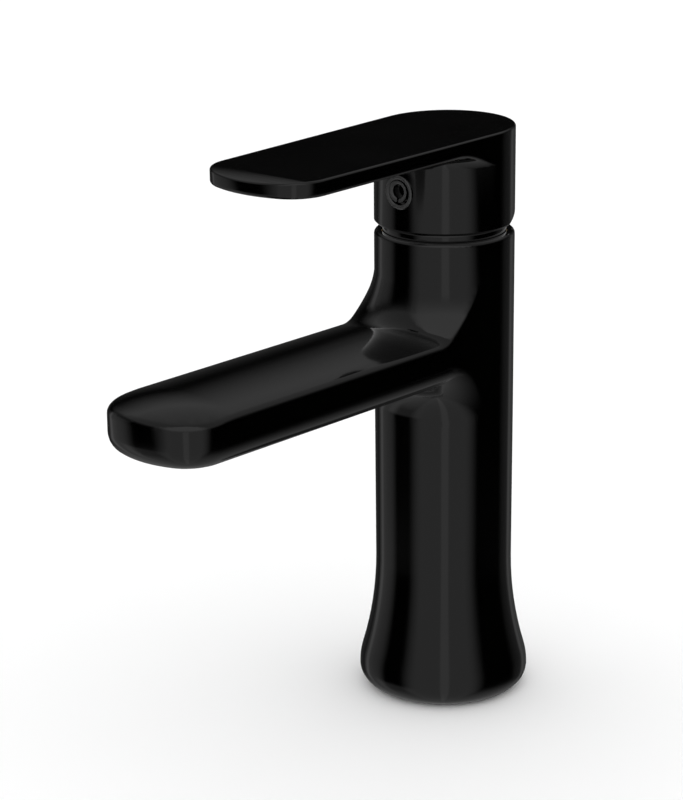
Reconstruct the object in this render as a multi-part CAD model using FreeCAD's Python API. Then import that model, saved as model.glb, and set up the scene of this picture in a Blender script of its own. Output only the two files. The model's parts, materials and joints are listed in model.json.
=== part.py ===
import FreeCAD, Part
import math
import os

# Single-lever basin mixer. The origin is the centre of the foot on the deck, +Z is up, and the spout and
# the lever point along -Y. Lengths are in millimetres and angles in degrees.

# Body casting: a slim column that flares into a rounded foot
body_height = 146.5
neck_radius = 21.25
waist_radius = 21.1
neck_start_drop = 9.0
body_rim_rounding = 1.2
foot_radius = 26.3
foot_widest_height = 6.4
foot_edge_width = 5.6
foot_bulge_radius = 18.0
foot_sweep_radius = 108

# Hollow of the foot, where the supply hoses and the stud go up into the body
hose_cavity_radius = 15.0
core_height = 30.0
hose_thread_radius = 4.5
hose_thread_depth = 13.0
stud_thread_radius = 3.4
stud_thread_depth = 14.0
stud_offset = 9.5
base_seal_width = 2.0
base_seal_depth = 2.0
base_seal_land = 2.2

# Spout, cast on the body
spout_reach = 131.9
spout_half_width = 20.2
spout_taper = 0.2
spout_corner_radius = 14.4
spout_front_radius = 31.0
spout_roof = 2.4
spout_thickness = 13.6
spout_crown_radius = 60.0
spout_top_rounding = 2.6
spout_bottom_rounding = 6.2
scoop_height = 18.5
scoop_flare_radius = 23.3
scoop_toe_radius = 9.0
throat_radius = 4.0
fillet_bite = 0.15
arris_margin = 2.0

# Cartridge, measured down from the top of the body
cartridge_bore_radius = 17.9
nut_thread_radius = 19.0
nut_height = 5.0
nut_recess = 0.5
nut_slot_width = 4.0
nut_slot_depth = 2.0
nut_slot_count = 6
housing_radius = 17.5
housing_wall = 2.3
housing_top = 2.5
housing_neck_radius = 13.2
housing_neck_rise = 0.2
rotor_radius = 10.5
rotor_rise = 1.0
rotor_flange_radius = 14.6
rotor_flange_height = 3.0
rotor_seal_width = 1.4
rotor_seal_height = 1.3
rotor_seal_lift = 0.1
rail_inner = 8.6
rail_width = 2.4
rail_length = 17.0
rail_depth = 2.8
carrier_radius = 13.0
carrier_height = 6.0
moving_disc_height = 3.2
moving_disc_pocket_depth = 1.8
moving_disc_pocket_front = 2.6
moving_disc_pocket_rear = 8.6
moving_disc_pocket_half_width = 5.6
disc_lug_half_width = 2.0
disc_lug_inner = 10.4
disc_lug_depth = 1.8
fixed_disc_radius = 14.5
fixed_disc_height = 3.3
disc_seal_height = 1.6
disc_seal_proud = 0.4
port_seal_height = 2.0
port_seal_proud = 0.3
seal_wall = 1.5
cartridge_base_height = 3.3
cartridge_base_flange = 1.8
peg_radius = 1.4
peg_length = 2.5
peg_spread = 11.0
peg_offset = 3.0
inlet_spread = 7.0
inlet_offset = 4.6
outlet_offset = 6.2
port_radius = 2.6
duct_width = 6.0
duct_height = 4.2
seat_web = 3.0

# Cover ring in the groove under the lever
cover_ring_radius = 18.7
cover_ring_wall = 1.6
cover_ring_shoulder = 1.8
cover_ring_crown = 4.2
cover_ring_mouth_radius = 12.6
cover_ring_bulge = 0.6

# Lever handle: a round skirt and a flat blade
lever_lift = 22.0
groove_height = 2.5
lever_height = 32.0
lever_reach = 88.3
lever_taper = 1.0
lever_slope = 0.9
lever_corner_radius = 12.0
lever_front_radius = 37.0
blade_thickness = 4.8
blade_roll_radius = 40.0
blade_roll_length = 7.5
blade_top_rounding = 0.8
blade_bottom_rounding = 1.2
armpit_radius = 6.0
skirt_wall = 1.9
skirt_roof = 5.8
skirt_rim_rounding = 0.8
boss_radius = 8.0
boss_start = 9.0
rib_thickness = 2.0
rib_start = 14.5
screw_boss_radius = 4.8
lever_lift_clearance = 0.5

# Stem and its pin
pivot_depth = 4.5
stem_width = 8.0
stem_rise = 19.0
stem_chamfer = 0.8
stem_arm_length = 9.0
stem_arm_radius = 2.3
stem_ball_radius = 2.8
pin_radius = 2.0
pin_setback = 0.4

# Set screw and the indicator plug in front of it
plug_height = 14.7
plug_radius = 5.0
plug_rim = 1.3
plug_bevel = 0.7
plug_proud = 0.5
plug_head_depth = 2.4
plug_stub_radius = 3.8
plug_stub_length = 3.0
plug_groove_width = 0.5
plug_groove_depth = 0.5
plug_dish_depth = 0.9
plug_eye_radius = 2.0
plug_eye_depth = 1.5
plug_notch_width = 0.6
screw_radius = 2.4
screw_length = 7.0
screw_hex_width = 2.5
screw_hex_depth = 3.0

# Aerator under the nose of the spout
aerator_setback = 20.0
aerator_thread_radius = 12.0
aerator_thread_depth = 6.1
aerator_chamber_radius = 10.4
aerator_wall = 1.8
aerator_drop = 1.3
aerator_lip_height = 1.2
aerator_lip_width = 1.1
aerator_washer_height = 1.5
aerator_washer_width = 2.4
aerator_notch_width = 6.0
aerator_notch_depth = 0.8
grid_height = 1.5
grid_cell_width = 2.1
grid_cell_wall = 0.5
grid_rings = 3
sieve_height = 0.8
sieve_cell_width = 1.5
sieve_cell_wall = 0.6
sieve_rings = 4
core_wall = 1.2
core_slot_width = 1.6
core_slot_inner = 5.4
core_slot_count = 12
core_cup_depth = 1.6

# Clearances
running_clearance = 0.05
sliding_clearance = 0.1
seat_clearance = 0.1
disc_film = 0.05
socket_clearance = 0.05
carrier_gap = 0.2
swing_clearance = 0.3

# How far a cut runs past the face it opens, and what counts as no distance at all
overrun = 1.0
tolerance = 1e-4

# Levels of the cartridge stack, from the body's top down
nut_top = body_height - nut_recess
nut_bottom = nut_top - nut_height
housing_roof = nut_bottom - housing_top
flange_top = housing_roof - disc_film
flange_bottom = flange_top - rotor_flange_height
carrier_top = flange_bottom - carrier_gap
carrier_bottom = carrier_top - carrier_height
moving_disc_bottom = carrier_bottom - moving_disc_height
fixed_disc_top = moving_disc_bottom - disc_film
fixed_disc_bottom = fixed_disc_top - fixed_disc_height
cartridge_base_top = fixed_disc_bottom - disc_seal_proud
cartridge_base_bottom = cartridge_base_top - cartridge_base_height
seat_height = cartridge_base_bottom - port_seal_proud
housing_bottom = cartridge_base_bottom + cartridge_base_flange
housing_bore_radius = housing_radius - housing_wall
duct_top = seat_height - seat_web
duct_bottom = duct_top - duct_height

# Places that several pieces share
foot_flat_radius = foot_radius - foot_edge_width
spout_top_height = duct_top + spout_roof
spout_bottom_height = spout_top_height - spout_thickness
neck_start_height = spout_bottom_height - neck_start_drop
hose_cavity_height = duct_bottom - core_height
pivot_height = body_height - pivot_depth
skirt_rim_height = body_height + groove_height
lever_top_height = body_height + lever_height
skirt_bore_radius = neck_radius - skirt_wall
half_lift = math.radians(lever_lift / 2.0)
disc_offset = stem_arm_length * math.sin(half_lift)
ball_height = pivot_height - stem_arm_length * math.cos(half_lift)
plug_level = body_height + plug_height
aerator_y = aerator_setback - spout_reach
aerator_ledge = spout_bottom_height + aerator_thread_depth
aerator_washer_bottom = aerator_ledge - aerator_washer_height
aerator_foot = spout_bottom_height - aerator_drop
aerator_bore_radius = aerator_thread_radius - seat_clearance - aerator_wall
grid_bottom = aerator_foot + aerator_lip_height
grid_top = grid_bottom + grid_height
sieve_bottom = aerator_washer_bottom - sieve_height
inlets = [(-inlet_spread, -inlet_offset), (inlet_spread, -inlet_offset)]
outlet = (0.0, outlet_offset)
pegs = [(-peg_spread, peg_offset), (peg_spread, peg_offset)]
axis_up = FreeCAD.Vector(0, 0, 1)
origin = FreeCAD.Vector(0, 0, 0)


def rod(radius, low, high, x=0.0, y=0.0):
    return Part.makeCylinder(radius, high - low, FreeCAD.Vector(x, y, low))


def tube(outer, inner, low, high, x=0.0, y=0.0):
    return rod(outer, low, high, x, y).cut(rod(inner, low, high, x, y))


def block(x_span, y_span, z_span):
    corner = FreeCAD.Vector(x_span[0], y_span[0], z_span[0])
    return Part.makeBox(x_span[1] - x_span[0], y_span[1] - y_span[0], z_span[1] - z_span[0], corner)


def crossbar(radius, half_length, y, z):
    start = FreeCAD.Vector(-half_length, y, z)
    return Part.makeCylinder(radius, 2.0 * half_length, start, FreeCAD.Vector(1, 0, 0))


def lance(radius, y_front, y_rear, z):
    start = FreeCAD.Vector(0, y_front, z)
    return Part.makeCylinder(radius, y_rear - y_front, start, FreeCAD.Vector(0, 1, 0))


def profile(place, start, *steps):
    """Closed face through the steps: a pair ends a straight edge, two pairs are an arc's middle and end."""
    edges = []
    here = place(*start)
    for step in list(steps) + [start]:
        if isinstance(step[0], tuple):
            middle, end = (place(*pair) for pair in step)
            edges.append(Part.Arc(here, middle, end).toShape())
        else:
            end = place(*step)
            if end.distanceToPoint(here) > tolerance:
                edges.append(Part.LineSegment(here, end).toShape())
        here = end
    return Part.Face(Part.Wire(edges))


def upright(radius, height):
    return FreeCAD.Vector(radius, 0, height)


def turned(start, *steps):
    return profile(upright, start, *steps).revolve(origin, axis_up, 360)


def flat_at(height):
    return lambda x, y: FreeCAD.Vector(x, y, height)


def side_at(x):
    return lambda y, z: FreeCAD.Vector(x, y, z)


def polar(centre, radius, angle):
    return (centre[0] + radius * math.cos(angle), centre[1] + radius * math.sin(angle))


def nose_corner(half_width, taper, reach, corner_radius, front_radius):
    """The right corner of a tapered blade whose side, corner and front arc run into each other smoothly."""
    side_angle = -math.radians(taper)
    front = (0.0, front_radius - reach)
    normal = (math.cos(side_angle), math.sin(side_angle))
    along = (normal[1], -normal[0])
    inset = half_width - corner_radius
    start = (normal[0] * inset - front[0], normal[1] * inset - front[1])
    spread = front_radius - corner_radius
    slide = start[0] * along[0] + start[1] * along[1]
    span = start[0] ** 2 + start[1] ** 2 - spread ** 2
    travel = math.sqrt(slide ** 2 - span) - slide
    offset = (start[0] + travel * along[0], start[1] + travel * along[1])
    centre = (front[0] + offset[0], front[1] + offset[1])
    end_angle = math.atan2(offset[1], offset[0])
    side_end = polar(centre, corner_radius, side_angle)
    middle = polar(centre, corner_radius, (side_angle + end_angle) / 2.0)
    front_start = polar(front, front_radius, end_angle)
    return side_end, middle, front_start


def mirrored(pair):
    return (-pair[0], pair[1])


def spout_plan(height):
    side_end, middle, front_start = nose_corner(
        spout_half_width, spout_taper, spout_reach, spout_corner_radius, spout_front_radius
    )
    root = (spout_half_width / math.cos(math.radians(spout_taper)), 0.0)
    return profile(
        flat_at(height),
        root,
        side_end,
        (middle, front_start),
        ((0.0, -spout_reach), mirrored(front_start)),
        (mirrored(middle), mirrored(side_end)),
        mirrored(root),
    )


def lever_plan(height):
    side_end, middle, front_start = nose_corner(
        neck_radius, lever_taper, lever_reach, lever_corner_radius, lever_front_radius
    )
    root = polar((0.0, 0.0), neck_radius, -math.radians(lever_taper))
    return profile(
        flat_at(height),
        root,
        side_end,
        (middle, front_start),
        ((0.0, -lever_reach), mirrored(front_start)),
        (mirrored(middle), mirrored(side_end)),
        mirrored(root),
        ((0.0, neck_radius), root),
    )


def is_upright(face):
    low_u, high_u, low_v, high_v = face.ParameterRange
    return abs(face.normalAt((low_u + high_u) / 2.0, (low_v + high_v) / 2.0).z) < tolerance


def arris(shape, low, high, rear):
    """Edges between an upright face and any other, wholly between two heights and in front of rear."""
    chosen = []
    for edge in shape.Edges:
        box = edge.BoundBox
        uprights = [face for face in shape.ancestorsOfType(edge, Part.Face) if is_upright(face)]
        within = box.ZMin > low - tolerance and box.ZMax < high + tolerance and box.YMax < rear
        if len(uprights) == 1 and within:
            chosen.append(edge)
    return chosen


def column():
    """The body's turned outside: rounded foot, bulge, long sweep, slightly waisted column."""
    narrowing = foot_radius - waist_radius
    reach = foot_bulge_radius + foot_sweep_radius
    rise = math.sqrt(2.0 * reach * narrowing - narrowing ** 2)
    bulge_centre = (foot_radius - foot_bulge_radius, foot_widest_height)
    sweep_centre = (waist_radius + foot_sweep_radius, foot_widest_height + rise)
    turn = math.asin(rise / reach)
    corner = foot_radius - foot_flat_radius
    diagonal = math.sqrt(0.5)
    corner_middle = (
        foot_flat_radius + corner * diagonal,
        foot_widest_height * (1.0 - diagonal),
    )
    rim_centre = (neck_radius - body_rim_rounding, body_height - body_rim_rounding)
    return turned(
        (0.0, 0.0),
        (foot_flat_radius, 0.0),
        (corner_middle, (foot_radius, foot_widest_height)),
        (polar(bulge_centre, foot_bulge_radius, turn / 2.0), polar(bulge_centre, foot_bulge_radius, turn)),
        (polar(sweep_centre, foot_sweep_radius, math.pi + turn / 2.0), (waist_radius, sweep_centre[1])),
        (neck_radius, neck_start_height),
        (neck_radius, rim_centre[1]),
        (polar(rim_centre, body_rim_rounding, math.pi / 4.0), (rim_centre[0], body_height)),
        (0.0, body_height),
    )


def crown():
    """Round bar with a round end, whose back is the crowned top of the spout."""
    rise = spout_crown_radius - math.sqrt(spout_crown_radius ** 2 - spout_half_width ** 2)
    end = FreeCAD.Vector(0, spout_half_width - spout_reach, spout_top_height + rise - spout_crown_radius)
    along = FreeCAD.Vector(0, 1, 0)
    bar = Part.makeCylinder(spout_crown_radius, spout_reach, end, along)
    return bar.fuse(Part.makeSphere(spout_crown_radius, end, along))


def scoop():
    """Flare around the neck above the spout."""
    start = neck_radius - fillet_bite
    top = spout_top_height + scoop_height
    centre = (start + scoop_flare_radius, top)
    turn = math.asin(scoop_height / scoop_flare_radius)
    toe = polar(centre, scoop_flare_radius, math.pi + turn)
    return turned(
        (0.0, spout_bottom_height),
        (toe[0], spout_bottom_height),
        toe,
        (polar(centre, scoop_flare_radius, math.pi + turn / 2.0), (start, top)),
        (0.0, top),
    )


def crease(shape):
    """Edges where the flare stands on the crowned top."""
    chosen = []
    for edge in shape.Edges:
        kinds = {type(face.Surface) for face in shape.ancestorsOfType(edge, Part.Face)}
        if kinds == {Part.Toroid, Part.Cylinder} and edge.BoundBox.ZMin > spout_top_height - arris_margin:
            chosen.append(edge)
    return chosen


def throat(radius, level):
    """Small fillet around the column where a flat underside meets it."""
    start = neck_radius - fillet_bite
    centre = (start + radius, level - radius)
    return turned(
        (0.0, level + radius),
        (start + radius, level + radius),
        (start + radius, level),
        (polar(centre, radius, 0.75 * math.pi), (start, level - radius)),
        (0.0, level - radius),
    )


def spout_prism(low):
    return spout_plan(low).extrude(FreeCAD.Vector(0, 0, spout_top_height + scoop_height - low))


def spout():
    prism = spout_prism(spout_bottom_height)
    collar = spout_prism(spout_bottom_height - throat_radius)
    collar = collar.common(throat(throat_radius, spout_bottom_height))
    blank = prism.common(crown()).fuse([prism.common(scoop()), collar]).removeSplitter()
    lower = arris(blank, spout_bottom_height - throat_radius, spout_bottom_height, -arris_margin)
    blank = blank.makeFillet(spout_bottom_rounding, lower)
    blank = blank.makeFillet(scoop_toe_radius, crease(blank))
    low = spout_top_height - arris_margin
    upper = arris(blank, low, spout_top_height + scoop_height, -arris_margin)
    return blank.makeFillet(spout_top_rounding, upper)


def water_ways():
    """Seat, ports, spout duct and aerator chamber, drilled out of the casting."""
    cuts = [
        rod(cartridge_bore_radius, seat_height, body_height + overrun),
        rod(nut_thread_radius, nut_bottom - seat_clearance, body_height + overrun),
        rod(port_radius, duct_bottom, seat_height + overrun, *outlet),
        block((-duct_width / 2.0, duct_width / 2.0), (aerator_y, outlet_offset), (duct_bottom, duct_top)),
        rod(aerator_thread_radius, spout_bottom_height - overrun, aerator_ledge, 0.0, aerator_y),
        rod(aerator_chamber_radius, spout_bottom_height, duct_top, 0.0, aerator_y),
    ]
    for place in inlets:
        cuts.append(rod(port_radius, hose_cavity_height, seat_height + overrun, *place))
        cuts.append(tapped_hole(hose_thread_radius, hose_thread_depth, *place))
    for place in pegs:
        hole = peg_radius + seat_clearance
        cuts.append(rod(hole, seat_height - peg_length, seat_height + overrun, *place))
    return cuts


def tapped_hole(radius, depth, x, y):
    return rod(radius, hose_cavity_height - overrun, hose_cavity_height + depth, x, y)


def base_seal_span():
    outer = foot_flat_radius - base_seal_land
    return outer - base_seal_width, outer


def body_casting():
    inner, outer = base_seal_span()
    cuts = water_ways()
    cuts.append(rod(hose_cavity_radius, -overrun, hose_cavity_height))
    cuts.append(tapped_hole(stud_thread_radius, stud_thread_depth, 0.0, stud_offset))
    cuts.append(tube(outer, inner, -overrun, base_seal_depth))
    return column().fuse(spout()).cut(cuts)


def base_seal():
    inner, outer = base_seal_span()
    return tube(outer - seat_clearance, inner + seat_clearance, 0.0, base_seal_depth)


def cartridge_nut():
    outer = nut_thread_radius - seat_clearance
    nut = tube(outer, housing_neck_radius + seat_clearance, nut_bottom, nut_top)
    half = nut_slot_width / 2.0
    slot_floor = nut_top - nut_slot_depth
    middle = (housing_neck_radius + cover_ring_radius - cover_ring_wall) / 2.0
    slot = block((middle - half, middle + half), (-half, half), (slot_floor, nut_top + overrun))
    for index in range(nut_slot_count):
        turn = 360.0 * index / nut_slot_count
        nut = nut.cut(slot.rotated(origin, axis_up, turn))
    return nut


def cover_ring():
    shoulder = body_height + cover_ring_shoulder
    crown = body_height + cover_ring_crown
    inside = cover_ring_radius - cover_ring_wall
    bulge = (shoulder + crown) / 2.0 + cover_ring_bulge
    top_middle = ((cover_ring_radius + cover_ring_mouth_radius) / 2.0, bulge)
    under_middle = ((inside + cover_ring_mouth_radius) / 2.0, bulge - cover_ring_wall)
    return turned(
        (inside, nut_top),
        (cover_ring_radius, nut_top),
        (cover_ring_radius, shoulder),
        (top_middle, (cover_ring_mouth_radius, crown)),
        (cover_ring_mouth_radius, crown - cover_ring_wall),
        (under_middle, (inside, shoulder - cover_ring_wall / 2.0)),
    )


def cartridge_housing():
    neck_top = body_height + housing_neck_rise
    bore = rotor_radius + running_clearance
    return turned(
        (housing_bore_radius, housing_bottom),
        (housing_radius, housing_bottom),
        (housing_radius, nut_bottom),
        (housing_neck_radius, nut_bottom),
        (housing_neck_radius, neck_top),
        (bore, neck_top),
        (bore, housing_roof),
        (housing_bore_radius, housing_roof),
    )


def ports():
    return inlets + [outlet]


def cartridge_base():
    base = rod(housing_radius, cartridge_base_bottom, housing_bottom)
    base = base.fuse(rod(housing_bore_radius - seat_clearance, housing_bottom, cartridge_base_top))
    seal_radius = port_radius + seal_wall + seat_clearance
    disc_recess = disc_seal_height - disc_seal_proud
    port_recess = port_seal_height - port_seal_proud
    for place in ports():
        through = rod(port_radius, seat_height, cartridge_base_top, *place)
        upper_seat = rod(seal_radius, cartridge_base_top - disc_recess, cartridge_base_top, *place)
        lower_seat = rod(seal_radius, seat_height, cartridge_base_bottom + port_recess, *place)
        base = base.cut([through, upper_seat, lower_seat])
    for place in pegs:
        base = base.fuse(rod(peg_radius, seat_height - peg_length, housing_bottom, *place))
    return base


def seal_set(low, high):
    outer = port_radius + seal_wall
    return Part.Compound([tube(outer, port_radius, low, high, *place) for place in ports()])


def port_seals():
    return seal_set(seat_height, seat_height + port_seal_height)


def disc_seals():
    return seal_set(fixed_disc_bottom - disc_seal_height, fixed_disc_bottom)


def fixed_disc():
    disc = rod(fixed_disc_radius, fixed_disc_bottom, fixed_disc_top)
    return disc.cut([rod(port_radius, fixed_disc_bottom, fixed_disc_top, *place) for place in ports()])


def disc_lugs(grow):
    """Two lugs of the carrier, or with grow their notches in the moving disc."""
    half = disc_lug_half_width + grow
    levels = (carrier_bottom - disc_lug_depth - grow, carrier_bottom)
    span = block((-carrier_radius, carrier_radius), (disc_offset - half, disc_offset + half), levels)
    ring = tube(carrier_radius + grow, disc_lug_inner - grow, *levels, 0.0, disc_offset)
    return span.common(ring)


def moving_disc():
    radius = carrier_radius - sliding_clearance
    disc = rod(radius, moving_disc_bottom, carrier_bottom, 0.0, disc_offset)
    half = moving_disc_pocket_half_width
    pocket = block(
        (-half, half),
        (disc_offset - moving_disc_pocket_front, disc_offset + moving_disc_pocket_rear - half),
        (moving_disc_bottom - overrun, moving_disc_bottom + moving_disc_pocket_depth),
    )
    round_end = rod(
        half,
        moving_disc_bottom - overrun,
        moving_disc_bottom + moving_disc_pocket_depth,
        0.0,
        disc_offset + moving_disc_pocket_rear - half,
    )
    return disc.cut([pocket.fuse(round_end), disc_lugs(sliding_clearance)])


def rails(grow):
    """Two rails under the rotor, or with grow their grooves in the carrier."""
    length = rail_length / 2.0 if grow == 0.0 else carrier_radius + overrun
    low = flange_bottom - rail_depth - grow
    span = (rail_inner - grow, rail_inner + rail_width + grow)
    right = block(span, (-length, length), (low, flange_bottom))
    return [right, right.mirror(origin, FreeCAD.Vector(1, 0, 0))]


def disc_carrier():
    carrier = rod(carrier_radius, carrier_bottom, carrier_top, 0.0, disc_offset)
    pocket = stem_ball_radius + running_clearance
    floor = ball_height - stem_ball_radius - swing_clearance
    grooves = [rail.translated(FreeCAD.Vector(0, disc_offset, 0)) for rail in rails(sliding_clearance)]
    carrier = carrier.cut(grooves + [rod(pocket, floor, carrier_top + overrun, 0.0, disc_offset)])
    return carrier.fuse(disc_lugs(0.0))


def rotor():
    top = body_height + rotor_rise
    neck = rod(rotor_radius, flange_top, top)
    flange = rod(rotor_flange_radius, flange_bottom, flange_top)
    seal_low, seal_high = rotor_seal_levels()
    groove = tube(rotor_radius + overrun, rotor_radius - rotor_seal_width, seal_low, seal_high)
    half = stem_width / 2.0
    lift = math.radians(lever_lift)
    climb = (top - pivot_height + half * math.sin(lift)) / math.cos(lift)
    rear = half * math.cos(lift) + climb * math.sin(lift) + swing_clearance
    slot = block(
        (-half - sliding_clearance, half + sliding_clearance),
        (-half - swing_clearance, rear),
        (flange_bottom - overrun, top + overrun),
    )
    pin_hole = crossbar(pin_radius, rotor_radius + overrun, 0.0, pivot_height)
    return neck.fuse([flange] + rails(0.0)).cut([groove, slot, pin_hole])


def rotor_seal_levels():
    low = flange_top + rotor_seal_lift
    return low, low + rotor_seal_height


def rotor_seal():
    low, high = rotor_seal_levels()
    return tube(rotor_radius, rotor_radius - rotor_seal_width, low, high)


def pivot_pin():
    reach = math.sqrt(rotor_radius ** 2 - pin_radius ** 2) - pin_setback
    return crossbar(pin_radius, reach, 0.0, pivot_height)


def lever_stem():
    half = stem_width / 2.0
    top = body_height + stem_rise
    shank = block((-half, half), (-half, half), (pivot_height, top))
    top_edges = [edge for edge in shank.Edges if edge.BoundBox.ZMin > top - tolerance]
    shank = shank.makeChamfer(stem_chamfer, top_edges)
    knuckle = crossbar(half, half, 0.0, pivot_height)
    arm_foot = FreeCAD.Vector(0, disc_offset, ball_height)
    arm_axis = FreeCAD.Vector(0, 0, pivot_height).sub(arm_foot)
    arm = Part.makeCylinder(stem_arm_radius, stem_arm_length, arm_foot, arm_axis)
    ball = Part.makeSphere(stem_ball_radius, arm_foot)
    pin_hole = crossbar(pin_radius + running_clearance, half + overrun, 0.0, pivot_height)
    return shank.fuse([knuckle, arm, ball]).cut(pin_hole)


def skirt_relief():
    """Wedge under the rear of the skirt, which lies level just above the body when the lever is lifted."""
    lift = math.radians(lever_lift)
    rise = pivot_depth + groove_height
    start = (rise * math.cos(lift) - pivot_depth - lever_lift_clearance) / math.sin(lift)
    far = neck_radius + overrun
    wedge = profile(
        side_at(-far),
        (start, skirt_rim_height),
        (far, skirt_rim_height + (far - start) * math.tan(lift)),
        (far, skirt_rim_height - overrun),
        (start, skirt_rim_height - overrun),
    )
    return wedge.extrude(FreeCAD.Vector(2.0 * far, 0, 0))


def blade_level(y, depth):
    """Height of the sloping blade at y, this far under its top face."""
    return lever_top_height - depth + y * math.tan(math.radians(lever_slope))


def blade_slab(depth):
    """Everything between the blade's top face, which rolls over at the tip, and a face this far under it."""
    front = -lever_reach - overrun
    rear = neck_radius + overrun
    slope = math.radians(lever_slope)
    roll_start = (blade_roll_length - lever_reach, blade_level(blade_roll_length - lever_reach, 0.0))
    centre = polar(roll_start, blade_roll_radius, slope - math.pi / 2.0)
    start_angle = math.pi / 2.0 + slope
    end_angle = math.acos((front - centre[0]) / blade_roll_radius)
    roll_middle = polar(centre, blade_roll_radius, (start_angle + end_angle) / 2.0)
    outline = profile(
        side_at(-rear),
        (front, blade_level(front, depth)),
        (rear, blade_level(rear, depth)),
        (rear, blade_level(rear, 0.0)),
        roll_start,
        (roll_middle, polar(centre, blade_roll_radius, end_angle)),
    )
    return outline.extrude(FreeCAD.Vector(2.0 * rear, 0, 0))


def lever_shell():
    underside = blade_level(0.0, blade_thickness)
    fillet = throat(armpit_radius, underside)
    fillet = fillet.rotated(FreeCAD.Vector(0, 0, underside), FreeCAD.Vector(1, 0, 0), lever_slope)
    floor = blade_level(-lever_reach, blade_thickness) - armpit_radius
    prism = lever_plan(floor).extrude(FreeCAD.Vector(0, 0, 2.0 * (lever_top_height - floor)))
    middle = blade_level(0.0, blade_thickness / 2.0)
    front = block((-neck_radius, neck_radius), (-lever_reach, 0.0), (floor, middle))
    armpit = prism.common(fillet).common(front)
    blank = prism.common(blade_slab(blade_thickness)).fuse(armpit).removeSplitter()
    lower = arris(blank, floor, underside, -arris_margin)
    blank = blank.makeFillet(blade_bottom_rounding, lower)
    upper = arris(blank, middle, blade_level(neck_radius, 0.0), lever_reach)
    blank = blank.makeFillet(blade_top_rounding, upper)
    skirt = turned(
        (0.0, skirt_rim_height),
        (neck_radius - skirt_rim_rounding, skirt_rim_height),
        (neck_radius, skirt_rim_height + skirt_rim_rounding),
        (neck_radius, lever_top_height - 2.0 * blade_top_rounding),
        (0.0, lever_top_height - 2.0 * blade_top_rounding),
    )
    return blank.fuse(skirt)


def lever_handle():
    roof = lever_top_height - skirt_roof
    hollow = rod(skirt_bore_radius, skirt_rim_height - overrun, roof)
    shell = lever_shell().cut([hollow, skirt_relief()])
    boss = rod(boss_radius, body_height + boss_start, roof + overrun)
    wall = neck_radius - skirt_wall / 2.0
    half = rib_thickness / 2.0
    levels = (body_height + rib_start, roof + overrun)
    side_rib = block((-wall, wall), (-half, half), levels)
    rear_rib = block((-half, half), (0.0, wall), levels)
    screw_boss = lance(screw_boss_radius, -wall, 0.0, plug_level)
    socket_half = stem_width / 2.0 + socket_clearance
    socket_top = body_height + stem_rise + socket_clearance
    socket = block((-socket_half, socket_half), (-socket_half, socket_half), (body_height, socket_top))
    screw_hole = lance(screw_radius + seat_clearance, -neck_radius, 0.0, plug_level)
    head_floor = plug_head_depth - plug_proud - neck_radius
    plug_seat = lance(plug_radius + seat_clearance, -neck_radius - overrun, head_floor, plug_level)
    stub_floor = head_floor + plug_stub_length + seat_clearance
    stub_seat = lance(plug_stub_radius + seat_clearance, -neck_radius, stub_floor, plug_level)
    shell = shell.fuse([boss, side_rib, rear_rib, screw_boss])
    return shell.cut([socket, screw_hole, plug_seat, stub_seat])


def set_screw():
    rear = -stem_width / 2.0
    front = rear - screw_length
    screw = lance(screw_radius, front, rear, plug_level)
    hexagon = Part.makePolygon([hex_corner(index, front) for index in range(7)])
    return screw.cut(Part.Face(hexagon).extrude(FreeCAD.Vector(0, screw_hex_depth, 0)))


def hex_corner(index, y):
    angle = math.radians(60.0 * index)
    radius = screw_hex_width / math.sqrt(3.0)
    return FreeCAD.Vector(radius * math.cos(angle), y, plug_level + radius * math.sin(angle))


def indicator_plug():
    """Button turned about the Y axis: bevelled rim, fine groove, slotted dish, round eye."""
    face = -neck_radius - plug_proud
    seat = face + plug_head_depth
    tail = seat + plug_stub_length
    inner = plug_radius - plug_rim

    def place(radius, y):
        return FreeCAD.Vector(radius, y, plug_level)

    half = profile(
        place,
        (0.0, face + plug_eye_depth),
        (plug_eye_radius, face + plug_eye_depth),
        (plug_eye_radius, face + plug_dish_depth),
        (inner - plug_groove_width, face),
        (inner - plug_groove_width, face + plug_groove_depth),
        (inner, face + plug_groove_depth),
        (inner, face),
        (plug_radius - plug_bevel, face),
        (plug_radius, face + plug_bevel),
        (plug_radius, seat),
        (plug_stub_radius, seat),
        (plug_stub_radius, tail),
        (0.0, tail),
    )
    plug = half.revolve(FreeCAD.Vector(0, 0, plug_level), FreeCAD.Vector(0, 1, 0), 360)
    half_notch = plug_notch_width / 2.0
    depth = (face - overrun, face + plug_dish_depth)
    return plug.cut(block((-half_notch, half_notch), depth, (plug_level - inner, plug_level)))


def aerator_housing():
    outer = aerator_thread_radius - seat_clearance
    housing = tube(outer, aerator_bore_radius, aerator_foot, aerator_washer_bottom, 0.0, aerator_y)
    lip_inner = aerator_bore_radius - aerator_lip_width
    housing = housing.fuse(tube(outer, lip_inner, aerator_foot, grid_bottom, 0.0, aerator_y))
    half = aerator_notch_width / 2.0
    levels = (aerator_foot - overrun, spout_bottom_height - seat_clearance)
    span = (outer - aerator_notch_depth, outer + overrun)
    notch = block(span, (aerator_y - half, aerator_y + half), levels)
    return housing.cut([notch, notch.mirror(origin, FreeCAD.Vector(1, 0, 0))])


def aerator_washer():
    outer = aerator_thread_radius - seat_clearance
    return tube(outer, outer - aerator_washer_width, aerator_washer_bottom, aerator_ledge, 0.0, aerator_y)


def honeycomb(cell_width, cell_wall, rings, low, high):
    """Hexagonal prisms in rings around the aerator's axis."""
    pitch = cell_width + cell_wall
    row_step = pitch * math.sqrt(3.0) / 2.0
    cells = []
    for row in range(-rings, rings + 1):
        count = 2 * rings + 1 - abs(row)
        for place in range(count):
            x = pitch * (place - (count - 1) / 2.0)
            cells.append(hex_cell((x, aerator_y + row_step * row), cell_width, low, high))
    return cells


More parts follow.
